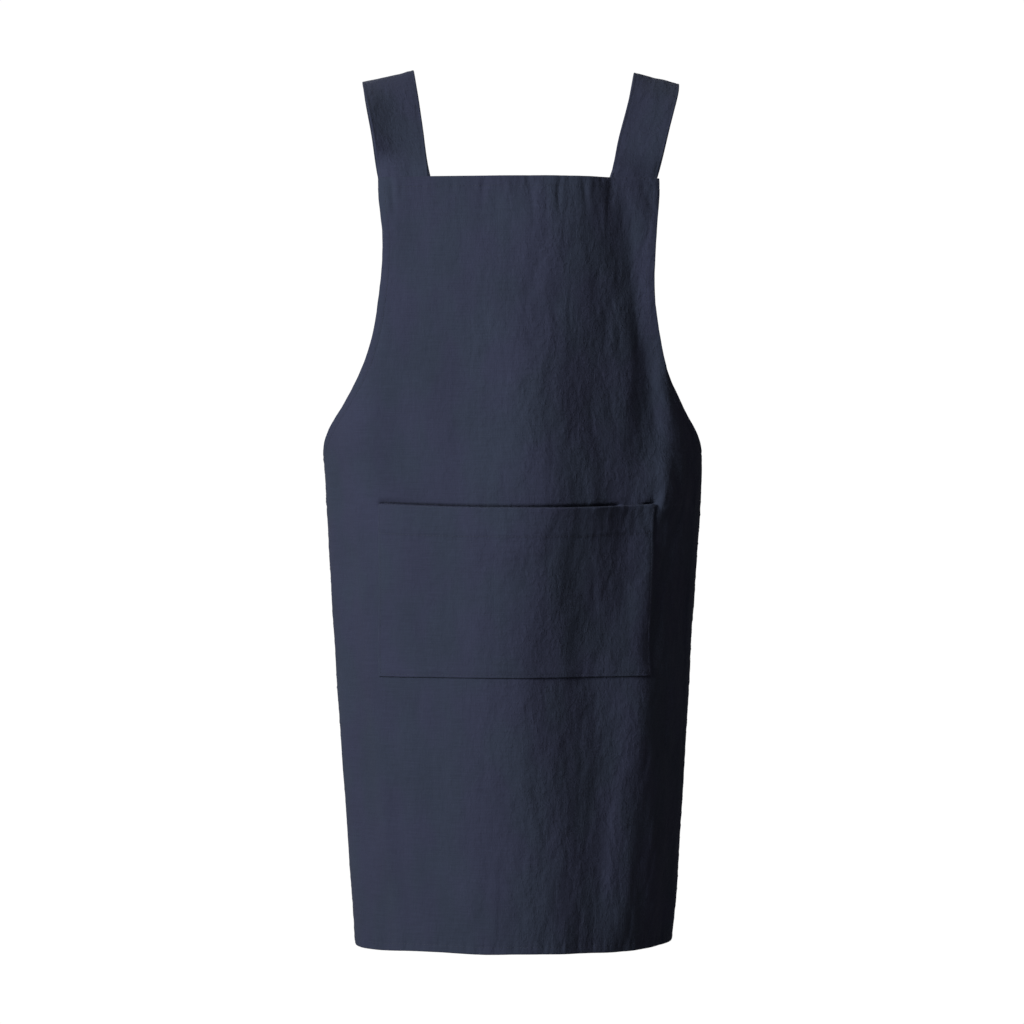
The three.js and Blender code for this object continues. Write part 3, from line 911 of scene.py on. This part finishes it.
def capsules(places, along, out):
    """Short rounds of thread that dip into the cloth at both ends."""
    runs = STITCH_RUNS * STITCH_LENGTH
    aside = unit(np.cross(along, out))
    out = np.cross(aside, along)
    turn = (np.arange(THREAD_SIDES) * 2 * math.pi / THREAD_SIDES)[None, :, None]
    ring = np.cos(turn) * aside[:, None, :] + np.sin(turn) * out[:, None, :]
    rises = (STITCH_RISES * THREAD / 2)[None, :, None]
    centre = places[:, None] + along[:, None] * runs[None, :, None] + out[:, None] * rises
    vertices = centre[:, :, None, :] + ring[:, None] * (STITCH_SIZES * THREAD / 2)[None, :, None, None]
    count = len(runs) * THREAD_SIDES
    quads = []
    for i in range(len(runs) - 1):
        for j in range(THREAD_SIDES):
            k = (j + 1) % THREAD_SIDES
            corners = ((0, j), (1, j), (1, k), (0, k))
            quads.append([(i + step) * THREAD_SIDES + side for step, side in corners])
    # Each end ring is closed by two quads
    start = [[0, 1, 2, 3], [0, 3, 4, 5]]
    end = [[count - THREAD_SIDES + j for j in corners[::-1]] for corners in start]
    one = np.array(quads + start + end)
    faces = (one[None] + (np.arange(len(places)) * count)[:, None, None]).reshape(-1, 4)
    uv = np.zeros((len(places), len(runs), THREAD_SIDES, 2))
    uv[..., 0] = (np.arange(THREAD_SIDES) / THREAD_SIDES)[None, None, :]
    uv[..., 1] = runs[None, :, None]
    return vertices.reshape(-1, 3), faces, uv.reshape(-1, 2)


def sew(name, faces, lines, both=True):
    """Rows of stitches along lines of fractional rows and columns of a sheet's grid."""
    parts = []
    for rows, columns in lines:
        for face, turn in (("outer", 1), ("inner", -1))[: 2 if both else 1]:
            points = sample(faces[face], rows, columns)
            out = sample(faces["out"], rows, columns) * turn
            walked = lengths(points)
            count = int(walked[-1] / STITCH_PITCH)
            places = (np.arange(count) + 0.5) * walked[-1] / count
            ahead, astern = (at_lengths(places + step, walked, points) for step in (MM, -MM))
            at, normal = at_lengths(places, walked, points), at_lengths(places, walked, out)
            parts.append(capsules(at, unit(ahead - astern), normal))
    offsets = np.cumsum([0] + [len(part[0]) for part in parts])
    indices = np.concatenate([part[1] + offset for part, offset in zip(parts, offsets)])
    vertices, uv = (np.concatenate([part[k] for part in parts]) for k in (0, 2))
    return make_object(name, vertices, indices, NAVY_THREAD, uv)


def place_on(stops_along):
    """A function from places, or shares, to fractional rows or columns of a grid with these stops."""
    order = np.argsort(stops_along)
    return lambda place: np.interp(place, stops_along[order], order)


def grid_lines(up_stops, across_stops, ends, points):
    """Straight lines on a sheet's grid, each from one place (up, across) to another."""
    row, column = place_on(up_stops), place_on(across_stops)
    run = np.linspace(0, 1, points)
    lines = []
    for start, end in ends:
        up, across = (low + run * (high - low) for low, high in zip(start, end))
        lines.append((row(up), column(across)))
    return lines


def frame_ends(near, far, foot, top, side_top):
    """The ends of four lines: along the top and the foot, and up both sides."""
    level = [((up, near), (up, far)) for up in (top, foot)]
    return level + [((foot, across), (side_top, across)) for across in (near, far)]


# Front panel

MOUTH_ROWS = POCKET_TOP - HEM + np.arange(-2, 9) * 0.8 * MM
FRONT_ROWS = HEM + stops(BIB_TOP - HEM, FRONT_PITCH[0], [FOOT_HEM, BIB_TOP - HEM - BIB_HEM], MOUTH_ROWS)
MOUTH_GROOVE_RISE = 0.6 * MM
ARMHOLE_BLEND = (-2 * MM, 22 * MM)
SIDE_DOUBLED = 0.35
SIDE_PUCKER_LEAN = 0.4
SIDE_STITCH_CLEAR = SIDE_STITCH + 1 * MM
STRAP_ZONE_SIDE = (-54 * MM, -50 * MM)
STRAP_ZONE_DROP = (40 * MM, 30 * MM)
STRAP_ZONE_SOFTER = 2.5
HALF_FROM = 0.02
PUCKERED_SHUT = (0.7, 0.76, 0.9, 0.95)
MOUTH_END = (0.985, 1.01)


def frontier(z, turn):
    """The cloth's length from the front's middle to the side seam, or above it to the armhole."""
    side = side_at(z) - SEAM_GAP / 2
    if z <= ARMHOLE_FOOT:
        return side
    down = (BIB_TOP - z) / (BIB_TOP - ARMHOLE_FOOT)
    x = BIB_HALF_WIDTH + float(armhole_out_at(down)) * (HIP_HALF_WIDTH - BIB_HALF_WIDTH)
    return min(abs(float(length_at_x(turn * x, z, False))), float(side))


REACH = {turn: np.array([frontier(z, turn) for z in FRONT_ROWS]) for turn in (-1, 1)}


def near_hem(z):
    return 1 - smoothstep(z, HEM, HEM + EDGE_BLEND)


def cut_line(s, z):
    """The real height of the cloth's edges: the bib's top rides up, and the hem hangs a little lower."""
    low = MM * hem_low_at(np.clip(s / side_at(z), -1, 1))
    return z - low * near_hem(z) + BIB_RISE * smoothstep(z, BIB_TOP - EDGE_BLEND, BIB_TOP)


def front_reach(s, z):
    """How far the front panel reaches on this side of its middle."""
    return np.where(s < 0, np.interp(z, FRONT_ROWS, REACH[-1]), np.interp(z, FRONT_ROWS, REACH[1]))


def pocket_share(s):
    """0 in the front's middle, -1 and 1 at the pocket's side edges."""
    return (s - POCKET_ASIDE) / POCKET_HALF_WIDTH


def mouth_height(share):
    """The mouth hangs lowest in its middle."""
    return POCKET_TOP + MOUTH_SAG * np.clip(np.abs(share), 0, 1) ** 2


def mouth_open(share):
    """How far open the mouth is along its width: puckered shut near its end on the wearer's left."""
    shut = smoothstep(share, *PUCKERED_SHUT[:2]) * (1 - smoothstep(share, *PUCKERED_SHUT[2:]))
    return (1 - shut) * (1 - smoothstep(np.abs(share), *MOUTH_END))


def mouth_groove(s, z):
    """The panel tucks in just above the pocket's mouth."""
    share = pocket_share(s)
    above = z - mouth_height(share) - MOUTH_GROOVE_RISE
    return -MOUTH_GROOVE * mouth_open(share) * np.exp(-((above / MOUTH_SHADE) ** 2))


def to_edge(s, z, reach):
    """How far places on the front are from its side edge, whose outline turns level at the armhole's foot."""
    nearest = np.full(s.shape, np.inf)
    for edge_s, edge_z in evenly(np.stack([reach, FRONT_ROWS], 1), OUTLINE_POINTS)[0]:
        nearest = np.minimum(nearest, (s - edge_s) ** 2 + (z - edge_z) ** 2)
    return np.sqrt(nearest) * (s < reach[:, None] - NEARLY)


def make_front():
    shares = side_to_side(float(side_at(ARMHOLE_FOOT)), FRONT_PITCH[1], ARMHOLE_HEM)
    z, share = np.meshgrid(FRONT_ROWS, shares, indexing="ij")
    reach = np.where(share < 0, REACH[-1][:, None], REACH[1][:, None])
    s = share * reach
    armhole = smoothstep(z, ARMHOLE_FOOT + ARMHOLE_BLEND[0], ARMHOLE_FOOT + ARMHOLE_BLEND[1])
    from_side = np.where(share < 0, to_edge(-s, z, REACH[-1]), to_edge(s, z, REACH[1]))
    from_top, from_foot = BIB_TOP - z, z - HEM
    side_row = SIDE_STITCH + (ARMHOLE_HEM - SIDE_STITCH) * armhole
    sewn = sewn_edge(from_top, s, BIB_HEM, seed=31)
    sewn = sewn + sewn_edge(from_foot, s, FOOT_HEM, seed=32, high=0.7)
    sewn = sewn + sewn_edge(from_side, z + SIDE_PUCKER_LEAN * s, side_row, seed=33, high=0.5)
    on_strap = smoothstep(np.abs(s) - reach, *STRAP_ZONE_SIDE)
    on_strap = on_strap * smoothstep(z, BIB_TOP - STRAP_ZONE_DROP[0], BIB_TOP - STRAP_ZONE_DROP[1])
    side_hem = hem(from_side, side_row) * (SIDE_DOUBLED + (1 - SIDE_DOUBLED) * armhole)
    doubled = np.maximum.reduce([hem(from_top, BIB_HEM), hem(from_foot, FOOT_HEM), side_hem]) * (1 - on_strap)
    nearest = np.minimum.reduce([from_top, from_foot, from_side])
    softer_top = from_top / (1 + STRAP_ZONE_SOFTER * on_strap)
    edge = rounded_edge(np.minimum.reduce([softer_top, from_foot, from_side]))
    middle = on_cloth(s, cut_line(s, z), sewn + mouth_groove(s, z))
    pale = wear(nearest, s, z) * (1 - on_strap)
    piece, faces = make_panel("front_cloth", "front_panel", middle, edge, doubled, s, z, pale)

    row, column = place_on(FRONT_ROWS), place_on(shares)
    run = np.linspace(0, 1, PANEL_LINE_POINTS)
    lines = []
    for place in (BIB_TOP - BIB_HEM, HEM + FOOT_HEM):
        height = np.full(run.shape, place)
        length = (2 * run - 1) * (front_reach(1.0, height) - SIDE_STITCH_CLEAR)
        lines.append((row(height), column(length / front_reach(length, height))))
    height = HEM + FOOT_HEM + run * (BIB_TOP - BIB_HEM - HEM - FOOT_HEM)
    for turn in (-1, 1):
        half = np.flatnonzero(turn * shares > HALF_FROM)[::-turn]
        inset = [np.interp(side_row[k, 0], from_side[k, half], shares[half]) for k in range(len(FRONT_ROWS))]
        lines.append((row(height), column(np.interp(height, FRONT_ROWS, inset))))
    threads = sew("front_stitches", faces, lines)


# Pocket

GAPE_POWERS = (1.5, 4)
GAPE_LESS = 0.6
GAPE_LESS_RUN = (0.55, 0.8)
PATCH_PUCKER = PATCH_STITCH + 3 * MM
PATCH_GROOVE = 0.25 * MM
POCKET_CLEAR = 0.4 * MM
POCKET_SIDE_SOFTER = 2.6
MOUTH_HEM_SHARE = 0.7
PATCH_HEM_SHARE = 0.8
POCKET_UV_UP = 0.37
SIDE_STITCH_TOP = 0.995


def make_pocket():
    height = POCKET_TOP - POCKET_FOOT
    ups = stops(height, POCKET_PITCH[0], [PATCH_STITCH, height - MOUTH_HEM]) / height
    shares = side_to_side(POCKET_HALF_WIDTH, POCKET_PITCH[1], PATCH_STITCH)
    up, share = np.meshgrid(ups, shares, indexing="ij")
    mouth = mouth_height(share)
    z = POCKET_FOOT + up * (mouth - POCKET_FOOT)
    s = POCKET_ASIDE + share * POCKET_HALF_WIDTH
    gape = MOUTH_GAPE * up ** GAPE_POWERS[0] * (1 - np.abs(share) ** GAPE_POWERS[1])
    gape = gape * (1 - GAPE_LESS * smoothstep(share, *GAPE_LESS_RUN))
    from_top, from_foot, from_side = mouth - z, z - POCKET_FOOT, (1 - np.abs(share)) * POCKET_HALF_WIDTH
    patch = np.minimum(from_side, from_foot)
    sewn = sewn_edge(from_top, s, MOUTH_HEM, seed=41, high=0.5)
    sewn = sewn + np.clip(sewn_edge(patch, s + z, PATCH_PUCKER, seed=42, high=0.4), 0, None)
    middle = on_cloth(s, z, CLOTH + SEAM_GAP + gape + np.clip(sewn + POCKET_CLEAR, 0, None))
    foot_hem = hem(from_foot, PATCH_HEM) * PATCH_HEM_SHARE
    doubled = np.maximum(hem(from_top, MOUTH_HEM) * MOUTH_HEM_SHARE, foot_hem)
    side_edge = rounded_edge(from_side / POCKET_SIDE_SOFTER)
    edge = np.minimum(rounded_edge(np.minimum(from_top, from_foot)), side_edge)
    groove = PATCH_GROOVE * stitch_groove(patch, PATCH_STITCH)
    outer_wall = (CLOTH / 2 + POCKET_HEM_OUT * doubled - groove) * edge
    uv = np.stack([s, z + POCKET_UV_UP], -1)
    piece, faces = closed_sheet("pocket_cloth", middle, outer_wall, CLOTH / 2 * edge, uv, 0 * s, LINEN)
    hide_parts("pocket")

    side = 1 - PATCH_STITCH / POCKET_HALF_WIDTH
    ends = frame_ends(-side, side, PATCH_STITCH / height, 1 - MOUTH_HEM / height, SIDE_STITCH_TOP)
    threads = sew("pocket_stitches", faces, grid_lines(ups, shares, ends, POCKET_LINE_POINTS), both=False)


# Back panels

def make_back(side, name):
    width, tall = BACK_FLAT[0], ARMHOLE_FOOT - HEM
    ups = stops(tall, BACK_PITCH[0], [FOOT_HEM, tall - BACK_HEM]) / tall
    rounds = stops(width, BACK_PITCH[1], [SEAM_STITCH, width - BACK_HEM]) / width
    if side < 0:
        rounds = rounds[::-1]
    up, around = np.meshgrid(ups, rounds, indexing="ij")
    top = ARMHOLE_FOOT + (-BACK_CORNER_DROP - ARMHOLE_FOOT) * smoothstep(around, 0, 1)
    z = HEM + up * (top - HEM)
    seam = side_at(z) - SEAM_LAP
    opening = np.abs(length_at_x(BACK_OPENING_HALF_WIDTH, z, True))
    length = seam + (opening - seam) * around
    s = side * length
    from_top, from_foot, from_seam, from_opening = top - z, z - HEM, length - seam, opening - length
    sewn = sewn_edge(from_top, s, BACK_HEM, seed=51)
    sewn = sewn + sewn_edge(from_foot, s, FOOT_HEM, seed=52, high=0.7)
    sewn = sewn + sewn_edge(from_opening, z, BACK_HEM, seed=53, high=0.5)
    sewn = sewn + sewn_edge(from_seam, z, SEAM_STITCH, seed=54, high=0.3)
    sewn = sewn - SEAM_TUCK * (1 - smoothstep(from_seam, SEAM_LAP, SEAM_LAP + SEAM_RISE))
    middle = on_cloth(s, z - MM * hem_low_at(float(side)) * near_hem(z), sewn)
    hems = [hem(from_top, BACK_HEM), hem(from_foot, FOOT_HEM), hem(from_opening, BACK_HEM)]
    nearest = np.minimum.reduce([from_top, from_foot, from_seam, from_opening])
    edge, doubled, pale = rounded_edge(nearest), np.maximum.reduce(hems), wear(nearest, s, z)
    piece, faces = make_panel(f"back_cloth_{name}", f"back_panel_{name}", middle, edge, doubled, s, z, pale)

    top_row = 1 - BACK_HEM / tall
    ends = frame_ends(SEAM_STITCH / width, 1 - BACK_HEM / width, FOOT_HEM / tall, top_row, top_row)
    threads = sew(f"back_stitches_{name}", faces, grid_lines(ups, rounds, ends, PANEL_LINE_POINTS))


# Straps

STRAP_CRINKLE = 0.6
STRAP_CRINKLE_SHIFT = (60 * MM, 120 * MM)
STRAP_CRINKLE_END = 0.85
SEAT_TOP = 4 * MM
STRAP_UV = (0.6, 1.3)
STRAP_UV_ASIDE = 0.2


def centripetal(points, steps=60):
    """A centripetal curve through points: its places, and for each its share of the points."""
    points = np.array(points, float)
    padded = np.concatenate([[2 * points[0] - points[1]], points, [2 * points[-1] - points[-2]]])
    places, shares = [], []
    last = len(points) - 1
    for i in range(last):
        p = padded[i : i + 4]
        gap = np.sqrt(np.linalg.norm(np.diff(p, axis=0), axis=1))
        start = (p[1] - p[0]) / gap[0] - (p[2] - p[0]) / (gap[0] + gap[1]) + (p[2] - p[1]) / gap[1]
        end = (p[2] - p[1]) / gap[1] - (p[3] - p[1]) / (gap[1] + gap[2]) + (p[3] - p[2]) / gap[2]
        start, end = start * gap[1], end * gap[1]
        t = np.linspace(0, 1, steps, endpoint=i == last - 1)[:, None]
        even = (2 * t**3 - 3 * t**2 + 1) * p[1] + (3 * t**2 - 2 * t**3) * p[2]
        places.append(even + (t**3 - 2 * t**2 + t) * start + (t**3 - t**2) * end)
        shares.append((i + t[:, 0]) / last)
    return np.concatenate(places), np.concatenate(shares)


def inside_panel(x, z, behind):
    """The middle of a strap's cloth where it is sewn inside a panel's hem."""
    x = x - MM * aside_at(-z / MM)
    return on_cloth(length_at_x(x, z, behind), z, -STRAP_SEAT)


def strap_line(side, name):
    """The strap's way as points, and for each how far its cloth faces outwards to the side."""
    shoulder_out = SHOULDER_OUT[name]
    bib_out = BIB_HALF_WIDTH - STRAP_WIDTH / 2 + FOOT_OUT[name]
    chest_depth = -inside_panel(side * bib_out, BIB_TOP, False)[..., 1]
    points, faces = [], []

    def add(x, y, z, turn):
        points.append((side * x, float(y), z))
        faces.append(side * turn)

    lean = (shoulder_out - bib_out) / -BIB_TOP
    x, z = bib_out - lean * STRAP_OVERLAP, BIB_TOP - STRAP_OVERLAP
    add(x, inside_panel(side * x, z, False)[..., 1], z, CHEST_ROWS[0][f"{name}_face"])
    for row in CHEST_ROWS:
        x = bib_out + (shoulder_out - bib_out) * row[f"{name}_out"]
        z = SHOULDER_TOP + (BIB_TOP - SHOULDER_TOP) * row["down"]
        add(x, -chest_depth * row["deep"], z, row[f"{name}_face"])
    for row in BACK_ROWS:
        x = shoulder_out - (BACK_ANCHOR_OUT + shoulder_out) * row[f"{name}_over"]
        add(x, BACK_DEPTH * row["deep"], -row["down"] * BACK_CORNER_DROP, row["face"])
    left_over, left_down = 1 - row[f"{name}_over"], 1 - row["down"]
    lean = left_over * (shoulder_out + BACK_ANCHOR_OUT) / (left_down * BACK_CORNER_DROP)
    for past in (0, STRAP_OVERLAP):
        x, z = -BACK_ANCHOR_OUT - lean * past, -BACK_CORNER_DROP - past
        add(x, inside_panel(side * x, z, True)[..., 1], z, 2 * row["face"])
    return points, faces


def strap_form(side, name, lift, seed, path, walked, turned, along, aside):
    """The middle of the strap's cloth, at places along it and aside from its line."""
    length = walked[-1]
    even = np.linspace(0, length, STRAP_PATH_POINTS)
    line = at_lengths(even, walked, path)
    centre = at_lengths(along, even, line)
    forward = unit(at_lengths(along, even, unit(np.gradient(line, axis=0))))
    face = unit(np.stack([turned, -forward[:, 2], forward[:, 1]], 1))
    sideways = unit(np.cross(forward, face))
    face = np.cross(sideways, forward)

    crossing = even[np.argmax(np.sign(line[:, 0]) != np.sign(line[0, 0]))]
    raised = lift * (1 - smoothstep(np.abs(along - crossing), CROSSING_REACH / 2, CROSSING_REACH))
    narrow, at_bib = (width / STRAP_WIDTH for width in STRAP_WIDTHS[name])
    width = narrow + (at_bib - narrow) * (1 - smoothstep(along, *STRAP_FOOT_RUN))
    from_end = np.minimum(along, length - along)
    seated = (1 - smoothstep(from_end / STRAP_OVERLAP, *SEAT_BLEND))[:, None]
    a, b = np.meshgrid(along, aside, indexing="ij")
    shift = np.random.default_rng(seed).uniform(*STRAP_CRINKLE_SHIFT)
    own = crinkle(b + shift, -np.clip(a, 0, STRAP_CRINKLE_END)) * STRAP_CRINKLE
    dished = STRAP_DISH[name] * smoothstep(-centre[:, 2], 0, DISH_DROP)[:, None]
    own = own - dished * (1 - ((2 * b / STRAP_WIDTH) + DISH_LEAN * side) ** 2)
    free = centre[:, None] + sideways[:, None] * (b * width[:, None])[..., None]
    free = free + face[:, None] * (raised[:, None] + own * (1 - seated))[..., None]
    low = np.minimum(free[..., 2], SEAT_TOP)
    front_seat, back_seat = (inside_panel(free[..., 0], low, behind) for behind in (False, True))
    seat = np.where((a > length / 2)[..., None], back_seat, front_seat)
    return a, b, free + (seat - free) * seated[..., None]


def make_strap(side, name, lift, seed):
    points, face_values = strap_line(side, name)
    path, shares = centripetal(points)
    walked = lengths(path)
    length = walked[-1]
    ends = (STRAP_STITCH, STRAP_BOX, length - STRAP_BOX, length - STRAP_STITCH)
    along = stops(length, STRAP_PITCH[0], ends)
    aside = stops(STRAP_WIDTH, STRAP_PITCH[1], [STRAP_STITCH, STRAP_WIDTH - STRAP_STITCH]) - STRAP_WIDTH / 2
    face_rows = [dict(at=i / (len(face_values) - 1), face=value) for i, value in enumerate(face_values)]
    turned = curve(face_rows, "face", "at")(np.interp(along, walked, shares))
    a, b, middle = strap_form(side, name, lift, seed, path, walked, turned, along, aside)

    from_side = STRAP_WIDTH / 2 - np.abs(b)
    nearest = np.minimum(from_side, np.minimum(a, length - a))
    groove = STITCH_SINK * stitch_groove(nearest, STRAP_STITCH)
    by_stitch = np.exp(-(((from_side - STRAP_STITCH) / STRAP_PUCKER_REACH) ** 2))
    wall = (STRAP_CLOTH / 2 - groove + STRAP_PUCKER * pucker(a + b, seed) * by_stitch) * rounded_edge(nearest)
    uv = np.stack([b + STRAP_UV[0] + STRAP_UV_ASIDE * side, a + STRAP_UV[1]], -1)
    pale = wear(nearest, b, a)
    piece, faces = closed_sheet(f"strap_cloth_{name}", middle, wall, wall, uv, pale, STRAP_LINEN)
    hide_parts(f"strap_{name}")

    inner = STRAP_WIDTH / 2 - STRAP_STITCH
    rows = [((ends[0], turn * inner), (ends[-1], turn * inner)) for turn in (-1, 1)]
    rows += [((place, -inner), (place, inner)) for place in ends]
    for low, high in (ends[:2], ends[2:]):
        rows += [((low, -turn * inner), (high, turn * inner)) for turn in (-1, 1)]
    threads = sew(f"strap_stitches_{name}", faces, grid_lines(along, aside, rows, STRAP_LINE_POINTS))


make_front()
make_pocket()
make_back(1, "left")
make_back(-1, "right")
make_strap(-1, "right", lift=0, seed=61)
make_strap(1, "left", lift=STRAP_CLOTH + CROSSING_GAP, seed=62)


# Light and floor

WHITE = (1, 1, 1, 1)
GLOW_COLOUR = (1.0, 0.93, 0.92, 1)
GLOW = 0.1
BACKGROUND = 1.02
FLOOR_HEIGHT = -1.4
FLOOR_RADIUS = 3
FLOOR_SIDES = 64
FLOOR_GRAIN = 3.0
FLOOR_GREYS = ((0.78, 0.78, 0.78, 1), (0.82, 0.82, 0.82, 1))
FLOOR_GLOW = 0.62
RIM_GLOW = 0.35
RIM_GLOW_RUN = (1.9, 3.2)


def make_light(name, turn, rise, distance, size, power):
    """A softbox at an angle from the front, below 0 to the left, and a height angle."""
    turn, rise = math.radians(turn), math.radians(rise)
    data = bpy.data.lights.new(name, "AREA")
    data.shape = "RECTANGLE"
    data.size, data.size_y = size
    data.energy = power
    light = add_object(name, data)
    flat = distance * math.cos(rise)
    light.location = (flat * math.sin(turn), -flat * math.cos(turn), VIEW_HEIGHT + distance * math.sin(rise))
    light.rotation_euler = (math.pi / 2 - rise, 0, turn)


def make_world():
    """Dim light from all round, and a white background."""
    n = Nodes(bpy.data.worlds.new("studio"))
    dim = n.add("ShaderNodeBackground", {"Color": GLOW_COLOUR, "Strength": GLOW})
    white = n.add("ShaderNodeBackground", {"Color": WHITE, "Strength": BACKGROUND})
    seen = n.add("ShaderNodeLightPath").outputs["Is Camera Ray"]
    mix = n.add("ShaderNodeMixShader", {0: seen, 1: dim.outputs[0], 2: white.outputs[0]})
    n.add("ShaderNodeOutputWorld", {0: mix.outputs[0]})
    bpy.context.scene.world = n.owner


def make_floor():
    turn = np.arange(FLOOR_SIDES) * 2 * math.pi / FLOOR_SIDES
    height = np.full(FLOOR_SIDES, FLOOR_HEIGHT)
    rim = np.stack([FLOOR_RADIUS * np.cos(turn), FLOOR_RADIUS * np.sin(turn), height], 1)
    mesh = bpy.data.meshes.new("floor")
    mesh.from_pydata(rim.tolist(), [], [list(range(FLOOR_SIDES))])
    n = Nodes(bpy.data.materials.new("pale_floor"))
    grain = n.add("ShaderNodeTexNoise", {"Scale": FLOOR_GRAIN}).outputs["Fac"]
    place = n.add("ShaderNodeTexCoord").outputs["Object"]
    reach = n.add("ShaderNodeVectorMath", {0: place}, operation="LENGTH").outputs["Value"]
    shading = {
        "Base Color": n.mix(grain, *FLOOR_GREYS),
        "Roughness": 0.8,
        "Emission Color": WHITE,
        "Emission Strength": n.math("MULTIPLY_ADD", n.smooth(reach, *RIM_GLOW_RUN), RIM_GLOW, FLOOR_GLOW),
    }
    mesh.materials.append(n.finish(shading))
    floor = add_object("floor", mesh)
    floor.visible_diffuse = False
    floor.visible_glossy = False


make_world()
make_light("key", turn=-46, rise=15, distance=3.2, size=(1.1, 1.5), power=89)
make_light("rear_fill", turn=180, rise=20, distance=3.2, size=(1.8, 1.8), power=75)
make_floor()

view = bpy.context.scene.view_settings
view.view_transform = "Standard"
view.look = "None"
